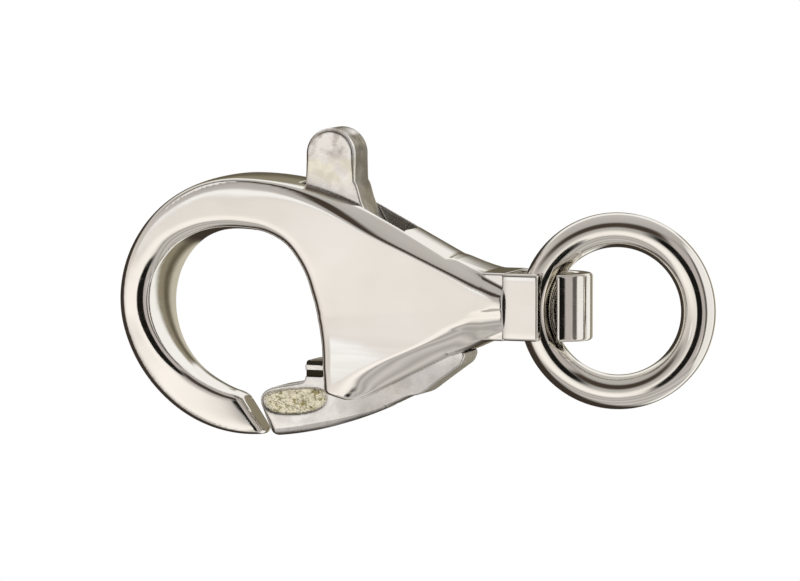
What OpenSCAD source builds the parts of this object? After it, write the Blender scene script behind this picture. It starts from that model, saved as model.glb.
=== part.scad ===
// Lobster clasp with a closed jump ring, lying on its back.
// X runs from the hook to the ring, Y from the gate to the thumb tab, Z is the thickness.
// Plan sizes are measured from the centre of the hook, heights from the middle of the thickness.

/* [Hook] */
// Outer radius of the hook
hook_r = 3.45; // [3.3:0.05:3.7]
// Radius of the opening inside the hook
eye_r = 2.2; // [2.05:0.05:2.35]
// Thickness of hook and shell from face to face
thick = 2.46; // [2.4:0.02:2.9]
// Width of the rounding on the inner side of the hook
eye_round = 0.34; // [0.15:0.01:0.38]
// Height of that rounding, as a share of its width
eye_fall = 0.6; // [0.5:0.05:1]

/* [Shell] */
// Distance from the centre of the hook to the small end of the shell
shell_tip = 7.3; // [7.1:0.05:7.4]
// Radius of the long curved flank on the tab's side
upper_r = 7.6; // [7:0.1:8.5]
// Angle that the upper flank turns through before it runs straight
upper_turn = 27.5; // [26:0.5:28]
// Radius of the long curved flank on the gate's side
lower_r = 8.8; // [8:0.1:9.5]
// Angle that the lower flank turns through before it runs straight
lower_turn = 26.5; // [25:0.5:28]
// Distance that the shell stands back from the lower flank, where the lever shows below it
flange_inset = 0.42; // [0.3:0.02:0.5]
// Width of the bevel along the upper flank
bevel_w = 0.38; // [0.2:0.02:0.5]
// Depth of that bevel
bevel_d = 0.5; // [0.3:0.05:0.6]
// Height that the middle of the face stands above its edges
face_crown = 0.08; // [0:0.01:0.1]

/* [Lever] */
// Thickness of the lever plate
lever_t = 1.1; // [0.9:0.05:1.15]
// Gap between the lever and each wall of its slot
lever_gap = 0.05; // [0.03:0.01:0.08]
// Place of the pivot along the clasp
pivot_x = 3.84; // [3.7:0.02:3.95]
// Place of the pivot across the clasp
pivot_y = -0.22; // [-0.3:0.02:-0.1]
// Width of the thumb tab
tab_w = 1.36; // [1.1:0.01:1.4]
// Place of the middle of the thumb tab along the clasp
tab_x = 2.365; // [2.3:0.005:2.5]
// Height of the top of the thumb tab above the centre of the hook
tab_top = 4.69; // [4.3:0.01:5]
// Place of the gate's tip along the clasp
gate_tip = 0.38; // [0.35:0.01:0.6]
// Width of the gate behind its tip
gate_w = 1.3; // [1.1:0.01:1.4]
// Height of the small step on the gate at the mouth of the shell
shoulder_h = 0.56; // [0.3:0.02:0.6]
// Place of the lowest corner of the heel along the clasp
heel_at = 4.85; // [4.7:0.01:5]
// Distance that the heel stands out from the lower flank
heel_drop = 0.13; // [0.05:0.01:0.2]
// Place of the end of the heel along the clasp
heel_end = 6.1; // [5.9:0.01:6.25]
// Angle that the lever opens through
lever_open = 16; // [10:1:17]

/* [Pin and spring] */
// Radius of the pivot pin
pin_r = 0.4; // [0.3:0.01:0.42]
// Length of the pivot pin
pin_l = 1.9; // [1.6:0.05:2]
// Clearance between the pin and the lever, on the radius
pin_fit = 0.03; // [0.02:0.01:0.05]
// Clearance between pieces that are fixed together
seat_gap = 0.01; // [0.01:0.01:0.02]
// Wire of the spring
spring_wire = 0.2; // [0.14:0.01:0.22]
// Length of the spring's leg, from the middle of the pin
spring_leg = 1.7; // [1.4:0.05:1.75]

/* [Bail] */
// Width of the strip
bail_w = 1.74; // [1.5:0.02:1.8]
// Place of the middle of the strip across the clasp
bail_y = 0.2; // [0.1:0.01:0.25]
// Thickness of the strip
bail_t = 0.33; // [0.25:0.01:0.36]
// Half of the height inside the strip
bail_r = 0.6; // [0.58:0.01:0.63]
// Distance from the end of the shell to the place where the fold begins
fold_out = 0.9; // [0.8:0.05:1.1]
// Length of the fold from there
fold_l = 1.16; // [1:0.02:1.2]
// Depth that the strip reaches into the shell
bail_in = 0.45; // [0.3:0.01:0.5]
// Distance from the end of the shell to the opening in the front of the strip
gap_out = 0.9; // [0.8:0.05:1]
// Length of that opening, which is too small for the ring to slip out
gap_l = 0.51; // [0.3:0.01:0.6]

/* [Jump ring] */
// Diameter of the ring's wire
ring_wire = 0.9; // [0.7:0.02:0.92]
// Outer diameter of the ring
ring_od = 5.1; // [4.6:0.1:5.4]
// Distance from the end of the shell to the ring's swing axis
ring_out = 0.68; // [0.65:0.01:0.8]
// Distance that the ring's centre lies off the middle of the bail, towards the gate
ring_off = 0.12; // [0:0.01:0.14]

/* [Hidden] */

half_t = thick / 2;
past = 0.5;                          // how far a cut runs past the metal
slot_t = lever_t + 2 * lever_gap;

// Sections of the hook and the shell, from the hook's tip round to the gate's mouth.
// at_out and at_in are the directions of the section's outer and inner edge, in degrees.
// eye is a share of eye_r, deep of half the thickness, soft of eye_round,
// bevel of bevel_w and drop of bevel_d. round is 1 for a flat bevel and 2 for a rounding.
AT_OUT = 0;
AT_IN = 1;
EYE = 2;
DEEP = 3;
SOFT = 4;
BEVEL = 5;
DROP = 6;
ROUND = 7;
SECTIONS = [
    //at_out at_in  eye   deep  soft  bevel drop  round
    [278,    264,   1.07, 0.36, 0.50, 0.50, 0.45, 2.0],
    [267,    256,   1.06, 0.46, 0.52, 0.65, 0.60, 2.0],
    [246,    242,   1.05, 0.54, 0.58, 0.85, 0.75, 2.0],
    [224,    223,   1.07, 0.63, 0.70, 0.95, 0.90, 2.0],
    [203,    203,   1.10, 0.78, 1.00, 1.00, 1.00, 2.0],
    [183,    183,   1.12, 0.94, 1.35, 1.00, 1.05, 2.0],
    [163,    163,   1.11, 1.00, 1.40, 0.95, 1.05, 2.0],
    [143,    143,   1.06, 1.00, 1.30, 0.85, 1.00, 2.0],
    [123,    123,   0.98, 1.00, 1.10, 0.70, 0.90, 2.0],
    [103,    103,   0.92, 1.00, 0.95, 0.55, 0.80, 2.0],
    [ 86,     86,   0.90, 1.00, 0.85, 0.50, 0.75, 1.9],
    [ 70,     69,   0.92, 1.00, 0.80, 0.50, 0.80, 1.7],
    [ 54,     52,   0.93, 1.00, 0.80, 0.65, 0.90, 1.4],
    [ 40,     38,   0.91, 1.00, 0.80, 0.88, 1.00, 1.1],
    [ 28,     24,   0.90, 1.00, 0.80, 1.05, 1.00, 1.0],
    [ 17,     12,   0.90, 1.00, 0.80, 0.95, 0.95, 1.0],
    [  8,      1,   0.93, 1.00, 0.80, 0.75, 0.75, 1.0],
    [  4,   -3.5,   0.95, 1.00, 0.80, 0.80, 0.50, 1.0],
    [  2,     -6,   0.96, 1.00, 0.80, 2.00, 0.50, 1.1],
    [  0,     -8,   0.97, 1.00, 0.80, 4.60, 0.70, 1.2],
    [ -8,    -16,   1.03, 1.00, 0.80, 3.60, 1.10, 1.3],
    [-17,    -24,   1.11, 1.00, 0.80, 3.10, 1.20, 1.3],
    [-27,    -32,   1.21, 1.00, 0.80, 2.20, 1.10, 1.3],
    [-33,    -38,   1.32, 1.00, 0.80, 1.60, 0.85, 1.4],
    [-37,    -43,   1.43, 1.00, 0.80, 1.10, 0.60, 1.5]];
STEPS = 3;                           // sections drawn for each row
SOFT_STEPS = 4;                      // strips on the inner rounding
FACE_STEPS = 4;                      // strips across the crowned face
RIM_STEPS = 3;                       // strips on the bevel or the outer rounding
crown_full = 3;                      // a face narrower than this stands up less in its middle

// Row i of the table, held at its ends
function row(i) = SECTIONS[max(0, min(len(SECTIONS) - 1, i))];

// Column c at place s, smooth through the rows
function along(s, c) =
    let (i = min(floor(s), len(SECTIONS) - 2), t = s - i,
         a = row(i - 1)[c], b = row(i)[c], d = row(i + 1)[c], e = row(i + 2)[c])
    b + t * (d - a) / 2 + t * t * (2 * a - 5 * b + 4 * d - e) / 2
    + t * t * t * (3 * b - a - 3 * d + e) / 2;

// Distance from the hook's centre to a flank in direction q: an arc of radius r that touches the hook,
// then from angle turn on the straight that follows it. inset moves the flank inwards.
function flank_reach(q, r, turn, inset) =
    let (off = r - hook_r)
    r * sin(turn) * tan(q) < r * cos(turn) - off
        ? (r - off * cos(turn) - inset) / sin(turn + q)
        : sqrt(pow(r - inset, 2) - pow(off * cos(q), 2)) - off * sin(q);
function reach(q) =
    q >= 90 ? hook_r
    : q < 0 ? flank_reach(-q, lower_r, lower_turn, flange_inset)
    : flank_reach(q, upper_r, upper_turn, 0);

// Half of a section, from the inner edge over the face to the outer wall: [distance, height]
function half_section(w, h, soft, bevel, drop, round) =
    let (face_w = w - bevel - soft, crown = face_crown * min(1, face_w / crown_full))
    concat(
        [[0, 0]],
        [for (k = [0 : SOFT_STEPS]) let (q = 90 * k / SOFT_STEPS)
            [soft * (1 - cos(q)), h - crown - soft * eye_fall * (1 - sin(q))]],
        [for (k = [1 : FACE_STEPS]) let (f = k / FACE_STEPS)
            [soft + face_w * f, h - crown * pow(2 * f - 1, 2)]],
        [for (k = [1 : RIM_STEPS]) let (q = 90 * k / RIM_STEPS, n = 2 / round)
            [w - bevel * (1 - pow(sin(q), n)), h - crown - drop * (1 - pow(cos(q), n))]]);

function mirrored(half) = [for (k = [len(half) - 1 : -1 : 1]) [half[k][0], -half[k][1]]];

// One section in space at place s
function section(s) =
    let (q_out = along(s, AT_OUT), q_in = along(s, AT_IN),
         out = reach(q_out) * [cos(q_out), sin(q_out)],
         in = along(s, EYE) * eye_r * [cos(q_in), sin(q_in)],
         w = norm(out - in), dir = (out - in) / w,
         half = half_section(w, along(s, DEEP) * half_t, along(s, SOFT) * eye_round,
                             along(s, BEVEL) * bevel_w, along(s, DROP) * bevel_d, along(s, ROUND)))
    [for (p = concat(half, mirrored(half))) [in[0] + dir[0] * p[0], in[1] + dir[1] * p[0], p[1]]];

// Solid skin through equal sections, closed at both ends
module skin(rings) {
    n = len(rings[0]);
    m = len(rings);
    polyhedron(
        points = [for (ring = rings) each ring],
        faces = concat(
            [[for (j = [n - 1 : -1 : 0]) j]],
            [for (i = [0 : m - 2], j = [0 : n - 1]) let (k = (j + 1) % n)
                each [[i * n + j, (i + 1) * n + k, (i + 1) * n + j],
                      [i * n + j, i * n + k, (i + 1) * n + k]]],
            [[for (j = [0 : n - 1]) (m - 1) * n + j]]));
}

// Plan of the lever: the thumb tab, the hub round the pivot, the heel and the gate
tab_r = tab_w / 2;
tab_left = tab_x - tab_r;
tab_right = tab_x + tab_r;
flare = 0.2;                         // the tab is this much wider where it enters the shell
flare_deep = 0.75;                   // depth of that place below the top of the hook
flare_y = hook_r - flare_deep;
root_deep = 1.85;                    // the tab's straight edge ends this far down inside the shell
root_y = hook_r - root_deep;
root_slant = 0.4;                    // its inner end slants back this far
hub_wall = 0.65;                     // metal round the pin
hub_r = pin_r + hub_wall;
hub_side = 0.15;                     // metal beside the hub, towards the heel
neck_x = 0.6;                        // narrowest place above the hub, from the pivot
neck_y = 0.9;
web_back = 1.42;                     // from the pivot to the web's edge towards the hook
heel_slope = 0.35;                   // the heel begins this far before its corner
heel_back = 0.5;                     // and meets the flank's line this far behind it
heel_cut = 0.35;                     // height of the heel's end above the flank's line
heel_soft = 0.1;                     // cut off its last corner
gate_top = gate_w - hook_r;          // inner edge of the gate at its tip
gate_slope = 0.2;                    // the gate's inner edge rises this much towards the shell
gate_nose = 0.25;                    // cut off the corner of the gate's tip
gate_foot = 0.2;                     // the tip leans back this far towards its lower corner
gate_low = 1.05;                     // depth of that corner below the inner edge
shoulder_gap = 0.02;                 // from the small step to the tab's left side
shoulder_x = tab_left - shoulder_gap;
lower_off = lower_r - hook_r;        // centre of the lower flank's arc, across the clasp
lower_x = lower_r * sin(lower_turn); // where the straight of the lower flank begins
function lower_line(x) = lower_off - lower_r * cos(lower_turn) + (x - lower_x) * tan(lower_turn);

// Gate from its tip to the shell: the lower flank's arc is its outer edge
module gate_plan() {
    intersection() {
        polygon([
            [gate_tip + 3 * gate_nose, -hook_r - past],
            [gate_tip + gate_foot, gate_top - gate_low],
            [gate_tip, gate_top - gate_nose],
            [gate_tip + gate_nose, gate_top],
            [shoulder_x, gate_top + gate_slope],
            [shoulder_x, gate_top + gate_slope + shoulder_h],
            [lower_x, gate_top + gate_slope + shoulder_h],
            [lower_x, -hook_r - past]]);
        translate([0, lower_off]) circle(lower_r, $fn = 96);
    }
}

// Web of the lever inside the shell, from the heel round the pivot to the root of the tab
module web_plan() {
    translate([pivot_x, pivot_y]) circle(hub_r, $fn = 64);
    polygon([
        [pivot_x - web_back, gate_top],
        [lower_x - seat_gap, lower_line(lower_x)],
        [heel_at - heel_slope, lower_line(heel_at - heel_slope)],
        [heel_at, lower_line(heel_at) - heel_drop],
        [heel_at + heel_back, lower_line(heel_at + heel_back)],
        [heel_end - heel_soft, lower_line(heel_end) + heel_soft],
        [heel_end, lower_line(heel_end) + heel_cut],
        [pivot_x + hub_r + hub_side, pivot_y + hub_side],
        [pivot_x + neck_x, pivot_y + neck_y],
        [tab_right + flare, flare_y],
        [tab_right, hook_r],
        [tab_left, hook_r],
        [tab_left, root_y],
        [tab_left + root_slant, root_y - 2 * root_slant],
        [pivot_x - web_back, pivot_y]]);
}

// Thumb tab with its round end
module tab_plan() {
    translate([tab_left, hook_r - past]) square([tab_w, tab_top - tab_r - hook_r + past]);
    translate([tab_x, tab_top - tab_r]) circle(tab_r, $fn = 64);
}

// Plan of the lever's slot: open towards the gate, closed at the hook, which stops the tab, and at
// the end of the shell. Above, it ends where the opened tab has room.
stop_gap = 0.12;                     // between the tab and the end of the slot that stops it
open_room = 0.35;                    // between the opened tab and the other end
slot_top = pivot_x + (tab_right + flare - pivot_x) * cos(lever_open)
    + (flare_y - pivot_y) * sin(lever_open) + open_room;
slot_deep = 1.45;                    // the slot's end runs straight down this far
hub_room = 0.65;                     // room that the slot leaves beside the hub
module slot_plan() {
    polygon([
        [tab_left - stop_gap, -hook_r - past],
        [tab_left - stop_gap, hook_r + past],
        [slot_top, hook_r + past],
        [slot_top, hook_r - slot_deep],
        [pivot_x + hub_r + hub_room, pivot_y + hub_r],
        [heel_end + stop_gap, pivot_y + hub_r / 2],
        [heel_end + stop_gap, -hook_r - past]]);
}

module slab(t) {
    translate([0, 0, -t / 2]) linear_extrude(t) children();
}

// The clasp stands with the middle of its box over the origin and its back on the surface
module place() {
    translate([-(ring_end - hook_r) / 2, -(tab_top - hook_r) / 2, half_t]) children();
}

// Collar at the small end of the shell: a block that grows out of the flanks and takes in the strip
bail_h = bail_r + bail_t;
collar_t = 0.08;                     // metal round the strip
collar_l = 1.4;                      // length of the collar
collar_full = 0.6;                   // its last stretch, of full height
collar_low = 0.65;                   // half of its height at its start
collar_in = 0.06;                    // it starts this far inside the flanks
upper_off = upper_r - hook_r;        // centre of the upper flank's arc, across the clasp
function upper_line(x) = (upper_r - upper_off * cos(upper_turn) - x * sin(upper_turn)) / cos(upper_turn);
function block_end(x, low, high, h) = [[x, low, -h], [x, low, h], [x, high, h], [x, high, -h]];
module collar() {
    start = shell_tip - collar_l;
    side = bail_w / 2 + seat_gap + collar_t;
    top = bail_h + seat_gap + collar_t;
    skin([
        block_end(start, lower_line(start) + flange_inset / cos(lower_turn) + collar_in,
                  upper_line(start) - collar_in, collar_low),
        block_end(shell_tip - collar_full, bail_y - side, bail_y + side, top),
        block_end(shell_tip + past, bail_y - side, bail_y + side, top)]);
}

// Hook and shell in one piece, with the lever's slot, the blind bore of its pin and the bail's recess
module body() {
    color("gainsboro") place() difference() {
        union() {
            skin([for (k = [0 : STEPS * (len(SECTIONS) - 1)]) section(k / STEPS)]);
            collar();
        }
        slab(slot_t) slot_plan();
        translate([pivot_x, pivot_y])
            cylinder(h = pin_l + 2 * seat_gap, r = pin_r + seat_gap, center = true, $fn = 48);
        translate([shell_tip, -hook_r, -thick]) cube([2 * hook_r, 2 * hook_r, 2 * thick]);
        translate([shell_tip - bail_in - seat_gap, bail_y - bail_w / 2 - seat_gap, -bail_h - seat_gap])
            cube([2 * hook_r, bail_w + 2 * seat_gap, 2 * (bail_h + seat_gap)]);
    }
}

// Lever with its bore, and a round pocket on one side for the spring that opens into the slot
spring_r = pin_r + pin_fit + spring_wire;
pocket_r = spring_r + spring_wire;
pocket_d = 2.5 * spring_wire;
leg_at = 50;                         // direction of the spring's leg
leg_room = 13;                       // angle that is free on each side of the leg
module lever() {
    color("lightgoldenrodyellow") place() difference() {
        union() {
            slab(lever_t) gate_plan();
            slab(lever_t) web_plan();
            slab(lever_t) tab_plan();
        }
        translate([pivot_x, pivot_y])
            cylinder(h = thick, r = pin_r + pin_fit, center = true, $fn = 48);
        translate([pivot_x, pivot_y, lever_t / 2 - pocket_d]) {
            cylinder(h = pocket_d + past, r = pocket_r, $fn = 48);
            linear_extrude(pocket_d + past) polygon([
                [0, 0],
                hook_r * [cos(leg_at - leg_room), sin(leg_at - leg_room)],
                hook_r * [cos(leg_at + lever_open + leg_room), sin(leg_at + lever_open + leg_room)]]);
        }
    }
}

module pivot_pin() {
    color("silver") place() translate([pivot_x, pivot_y])
        cylinder(h = pin_l, r = pin_r, center = true, $fn = 48);
}

// Two turns of wire round the pin and one straight leg
turn_rise = 0.9 * spring_wire;
module lever_spring() {
    color("darkgray") place()
        translate([pivot_x, pivot_y, lever_t / 2 - pocket_d + 0.75 * spring_wire]) {
            for (turn = [0, 1])
                translate([0, 0, turn * turn_rise]) rotate_extrude($fn = 48)
                    translate([spring_r, 0]) circle(spring_wire / 2, $fn = 24);
            rotate(leg_at) rotate([0, 90, 0]) translate([0, 0, spring_r])
                cylinder(h = spring_leg - spring_r, r = spring_wire / 2, $fn = 24);
        }
}

// Strip bent round the ring, joined inside the shell and open at the front, where its end stops
// short of the stub: the side view of one face of the strip
bail_web = 0.25;                     // metal that joins both legs inside the shell
fold_x = shell_tip + fold_out;
module fold(h, l, start) {
    translate([fold_x, 0]) scale([l / h, 1]) circle(h, $fn = 64);
    translate([start, -h]) square([fold_x - start, 2 * h]);
}
module bail() {
    start = shell_tip - bail_in;
    color("lightgray") place() translate([0, bail_y + bail_w / 2]) rotate([90, 0, 0])
        linear_extrude(bail_w) difference() {
            fold(bail_h, fold_l, start);
            fold(bail_r, fold_l - bail_t, start + bail_web);
            translate([shell_tip + gap_out, 0]) square([gap_l, bail_h + past]);
        }
}

// Closed ring that hangs in the bail and lies with its far side on the surface
ring_r = (ring_od - ring_wire) / 2;
ring_lead = 0.1;                     // the wire in the bail stands this far off the swing axis
ring_axis = shell_tip + ring_out;    // place of the swing axis along the clasp
ring_arm = ring_r - ring_lead;       // from the swing axis to the centre of the ring
ring_tilt = asin((half_t - ring_wire / 2) / (ring_arm + ring_r));
ring_end = ring_axis + (ring_arm + ring_r) * cos(ring_tilt) + ring_wire / 2;
module jump_ring() {
    color("silver") place() translate([ring_axis, bail_y - ring_off]) rotate([0, ring_tilt, 0])
        translate([ring_arm, 0]) rotate_extrude($fn = 96)
            translate([ring_r, 0]) circle(ring_wire / 2, $fn = 48);
}

body();
lever();
pivot_pin();
lever_spring();
bail();
jump_ring();
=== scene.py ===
"""Lobster clasp with a jump ring: polished hook and shell, tumbled lever, bent strip, round ring.

Plan sizes are in millimetres from the centre of the hook, heights from the middle of the thickness,
as in the part's source. Lengths are in millimetres and angles in radians where nothing else is
said. Every mesh is moved to the row frame and to metres when it is made.
"""

import logging
import math
from dataclasses import dataclass, field
from enum import Enum
from typing import Callable, Dict, Optional, Sequence, Tuple, Union

import bpy
import numpy as np
from mathutils import Matrix, Vector


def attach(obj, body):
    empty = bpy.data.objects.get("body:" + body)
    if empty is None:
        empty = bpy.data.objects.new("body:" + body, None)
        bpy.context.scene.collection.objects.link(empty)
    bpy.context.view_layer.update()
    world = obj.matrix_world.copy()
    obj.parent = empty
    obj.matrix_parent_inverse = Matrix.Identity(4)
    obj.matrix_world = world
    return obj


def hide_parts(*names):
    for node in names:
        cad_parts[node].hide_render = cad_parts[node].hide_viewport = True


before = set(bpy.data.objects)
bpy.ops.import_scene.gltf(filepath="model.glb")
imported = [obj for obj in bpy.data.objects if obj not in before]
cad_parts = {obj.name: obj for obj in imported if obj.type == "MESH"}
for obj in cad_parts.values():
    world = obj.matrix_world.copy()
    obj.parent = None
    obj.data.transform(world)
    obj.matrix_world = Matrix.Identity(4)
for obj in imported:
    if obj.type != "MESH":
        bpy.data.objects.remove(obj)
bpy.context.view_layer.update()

log = logging.getLogger("clasp")
Array = np.ndarray
Amount = Union[float, Array]
Field = Callable[[Array, Array, Array], Array]
Socket = bpy.types.NodeSocket
Pair = Tuple[float, float]
Corner = Tuple[float, float, float]
Colour = Tuple[float, float, float]
MM = 0.001

# A distance beyond all others, and values too small to divide by.
FAR = 1e9
NO_LENGTH2 = 1e-12
NO_RISE = 1e-9
NO_SLOPE = 1e-6
LEAST = 1e-4


# Distances and fillets

def round_both(a: Array, b: Array, r: Amount) -> Array:
    """Common part of two solids, given by their signed distances, with a fillet of radius r.

    Formula: the larger distance, held at -r or below, plus the root of the squares of how far each
    distance is above -r.

    Args:
        a: signed distance to the first solid, negative inside.
        b: signed distance to the second solid.
        r: radius of the fillet, one number or one for each point.

    Returns:
        Signed distance to the filleted common part.
    """
    return np.minimum(np.maximum(a, b), -r) + np.hypot(np.maximum(a + r, 0), np.maximum(b + r, 0))


def soften(a: Array, b: Array, k: Amount) -> Array:
    """Larger of two distances, blended over a band.

    Formula: the larger, plus the square of how far their difference falls short of k, over 4 k.

    Args:
        a: first signed distance.
        b: second signed distance.
        k: width of the band.

    Returns:
        Blended signed distance.
    """
    return np.maximum(a, b) + np.maximum(k - np.abs(a - b), 0) ** 2 / (4 * k)


def ellipse_edge(u: Array, v: Array, wide: Array, tall: Array) -> Array:
    """Signed distance to an edge rounded by a quarter of an ellipse.

    Formula: the root of u squared plus v squared, less 1, over the slope of that root.

    Args:
        u: place across the rounding, 0 where it begins and 1 at the side wall.
        v: height in the rounding, 0 at its foot and 1 at the top.
        wide: width of the rounding.
        tall: its height.

    Returns:
        Signed distance, about right near the edge and exact on the plain sides.
    """
    u, v = np.maximum(u, LEAST), np.maximum(v, LEAST)
    size = np.hypot(u, v)
    return (size - 1) * size / np.hypot(u / wide, v / tall)


def join_soft(a: Array, b: Array, k: Amount) -> Array:
    """Union of two solids with a small fillet in the inner corner: soften() turned inside out."""
    return -soften(-a, -b, k)


def rounded_corners(corners: Sequence[Corner], arcs: int = 6, most: float = 0.45) -> Array:
    """Outline with each corner rounded.

    Formula: each corner becomes a quadratic curve between two points, one on each of its sides, at
    the given distance from it.

    Args:
        corners: x, y and the distance that the rounding takes from each side.
        arcs: points on a rounding.
        most: largest share of a side that one rounding takes.

    Returns:
        Points of the closed outline, as rows of x and y.
    """
    table = np.array(corners, float)
    here, cut = table[:, :2], table[:, 2:]
    before, after = np.roll(here, 1, axis=0) - here, np.roll(here, -1, axis=0) - here
    room_before = np.linalg.norm(before, axis=1, keepdims=True)
    room_after = np.linalg.norm(after, axis=1, keepdims=True)
    first = here + before / room_before * np.minimum(cut, most * room_before)
    last = here + after / room_after * np.minimum(cut, most * room_after)
    t = np.linspace(0, 1, arcs)[None, :, None]
    curve = (1 - t) ** 2 * first[:, None] + 2 * t * (1 - t) * here[:, None] + t ** 2 * last[:, None]
    return curve.reshape(-1, 2)


def outline_distance(x: Array, y: Array, outline: Array) -> Array:
    """Signed distance in plan to a closed outline, negative inside.

    Formula: the least distance to any side; the sign turns at each side that a ray along x meets.

    Args:
        x: places along the clasp.
        y: places across the clasp, of the same shape or one that fits it.
        outline: rows of x and y.

    Returns:
        Signed distances, of the shape that x and y have together.
    """
    x, y = np.broadcast_arrays(x, y)
    least = np.full(x.shape, FAR)
    inside = np.zeros(x.shape, bool)
    for (x0, y0), (x1, y1) in zip(outline, np.roll(outline, -1, axis=0)):
        ex, ey = x1 - x0, y1 - y0
        length2 = ex * ex + ey * ey
        if length2 < NO_LENGTH2:
            continue
        t = np.clip(((x - x0) * ex + (y - y0) * ey) / length2, 0, 1)
        least = np.minimum(least, (x - x0 - t * ex) ** 2 + (y - y0 - t * ey) ** 2)
        if abs(ey) > NO_RISE:
            inside ^= ((y0 > y) != (y1 > y)) & (x < x0 + ex * (y - y0) / ey)
    return np.where(inside, -1, 1) * np.sqrt(least)


def smooth_step(value: Array, low: float, high: float) -> Array:
    """0 below low, 1 above high and a smooth rise between them."""
    t = np.clip((value - low) / (high - low), 0, 1)
    return t * t * (3 - 2 * t)


# Meshes

@dataclass
class Shell3D:
    """Points, faces and normals of one closed surface, in plan millimetres."""

    points: Array
    faces: Array
    normals: Optional[Array] = None
    marks: Dict[str, Array] = field(default_factory=dict)


@dataclass(frozen=True)
class SkinNet:
    """Closes a mesh of even quads over the zero surface of a field."""

    step: float = 0.05
    even_rounds: int = 4
    last_rounds: int = 2
    nudge: float = 0.002
    reach: float = 0.6
    least_slope: float = 0.2
    least_square: float = 0.05

    def cover(self, f: Field, low: Sequence[float], high: Sequence[float]) -> Shell3D:
        """Net over the surface where f is zero.

        Formula: one point in each cell that the surface crosses, at the mean of its crossings, and
        one quad across each grid edge that the surface crosses. Then the points are evened out
        along the surface and moved onto it along the field's slope.

        Args:
            f: signed distance, negative inside.
            low: lowest corner of the box that is searched.
            high: its highest corner.

        Returns:
            The closed mesh, with the field's slope as its normals.
        """
        axes = [np.arange(a, b + self.step, self.step) for a, b in zip(low, high)]
        values = f(axes[0][:, None, None], axes[1][None, :, None], axes[2][None, None, :])
        values = np.broadcast_to(values, [len(a) for a in axes])
        inside = values < 0
        cells = tuple(n - 1 for n in values.shape)
        total = np.zeros(cells + (3,))
        count = np.zeros(cells)
        for axis in range(3):
            one, two = [(axis + k) % 3 for k in (1, 2)]
            near = [slice(None)] * 3
            far = [slice(None)] * 3
            near[axis], far[axis] = slice(None, -1), slice(1, None)
            a, b = values[tuple(near)], values[tuple(far)]
            crossing = inside[tuple(near)] != inside[tuple(far)]
            share = np.where(crossing, a / np.where(crossing, a - b, 1), 0)
            for d1 in (0, 1):
                for d2 in (0, 1):
                    part = [slice(None)] * 3
                    part[one] = slice(d1, d1 + cells[one])
                    part[two] = slice(d2, d2 + cells[two])
                    met = crossing[tuple(part)]
                    count += met
                    total[..., axis] += share[tuple(part)]
                    total[..., one] += d1 * met
                    total[..., two] += d2 * met
        used = count > 0
        index = np.where(used, np.cumsum(used.ravel()).reshape(cells) - 1, -1)
        corner = np.argwhere(used)
        points = np.array(low) + self.step * (corner + total[used] / count[used][:, None])
        faces = [self._quads(inside, index, axis) for axis in range(3)]
        shell = Shell3D(points, np.concatenate(faces))
        for _ in range(self.even_rounds):
            shell.points = self._settle(f, self._even(shell))
        for _ in range(self.last_rounds):
            shell.points = self._settle(f, shell.points)
        slope = self._slope(f, shell.points)
        shell.normals = slope / np.linalg.norm(slope, axis=1, keepdims=True)
        return shell

    def _quads(self, inside: Array, index: Array, axis: int) -> Array:
        """Quads across the crossed grid edges along one axis, turned outwards.

        Args:
            inside: whether each grid node lies inside.
            index: number of each cell's point.
            axis: 0, 1 or 2.

        Returns:
            Rows of four point numbers.
        """
        one, two = [(axis + k) % 3 for k in (1, 2)]
        order = (axis, one, two)
        side = np.transpose(inside, order)
        cell = np.transpose(index, order)
        start, end = side[:-1, 1:-1, 1:-1], side[1:, 1:-1, 1:-1]
        i, j, k = np.nonzero(start != end)
        around = [cell[i, j, k], cell[i, j + 1, k], cell[i, j + 1, k + 1], cell[i, j, k + 1]]
        quad = np.stack(around, axis=1)
        outward = start[i, j, k]
        return np.where(outward[:, None], quad, quad[:, ::-1])

    def _even(self, shell: Shell3D) -> Array:
        """Each point halfway towards the mean of its neighbours along the quads' sides.

        Args:
            shell: the mesh so far.

        Returns:
            Its points, evened out.
        """
        a = shell.faces.ravel()
        b = np.roll(shell.faces, -1, axis=1).ravel()
        n = len(shell.points)
        degree = np.maximum(np.bincount(a, minlength=n) + np.bincount(b, minlength=n), 1)
        total = [np.bincount(a, shell.points[b, c], n) + np.bincount(b, shell.points[a, c], n)
                 for c in range(3)]
        return 0.5 * (shell.points + np.stack(total, axis=1) / degree[:, None])

    def _slope(self, f: Field, points: Array) -> Array:
        """Slope of the field at each point, from differences to both sides.

        Args:
            f: the field.
            points: rows of x, y and z.

        Returns:
            Rows of the slopes along x, y and z.
        """
        x, y, z = points.T
        h = self.nudge
        along_x = f(x + h, y, z) - f(x - h, y, z)
        along_y = f(x, y + h, z) - f(x, y - h, z)
        along_z = f(x, y, z + h) - f(x, y, z - h)
        return np.stack([along_x, along_y, along_z], axis=1) / (2 * h)

    def _settle(self, f: Field, points: Array) -> Array:
        """Points moved onto the zero surface.

        Formula: the value over the slope's square, along the slope, held to a share of the step.

        Args:
            f: the field.
            points: rows of x, y and z.

        Returns:
            The moved points.
        """
        slope = self._slope(f, points)
        value = f(*points.T)
        move = value / np.maximum((slope ** 2).sum(axis=1), self.least_square)
        reach = self.reach * self.step / np.maximum(np.linalg.norm(slope, axis=1), self.least_slope)
        return points - np.clip(move, -reach, reach)[:, None] * slope


def swept_grid(rings: Array, closed: bool) -> Array:
    """Quads between rings of points, outwards where the rings turn to the left of the path.

    Args:
        rings: array of rings, each an array of points that closes on itself.
        closed: whether the last ring joins the first.

    Returns:
        Rows of four point numbers.
    """
    m, n = rings.shape[:2]
    i = np.arange(m if closed else m - 1)[:, None]
    j = np.arange(n)[None, :]
    k, l = (i + 1) % m, (j + 1) % n
    return np.stack([i * n + j, i * n + l, k * n + l, k * n + j], axis=-1).reshape(-1, 4)


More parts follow.
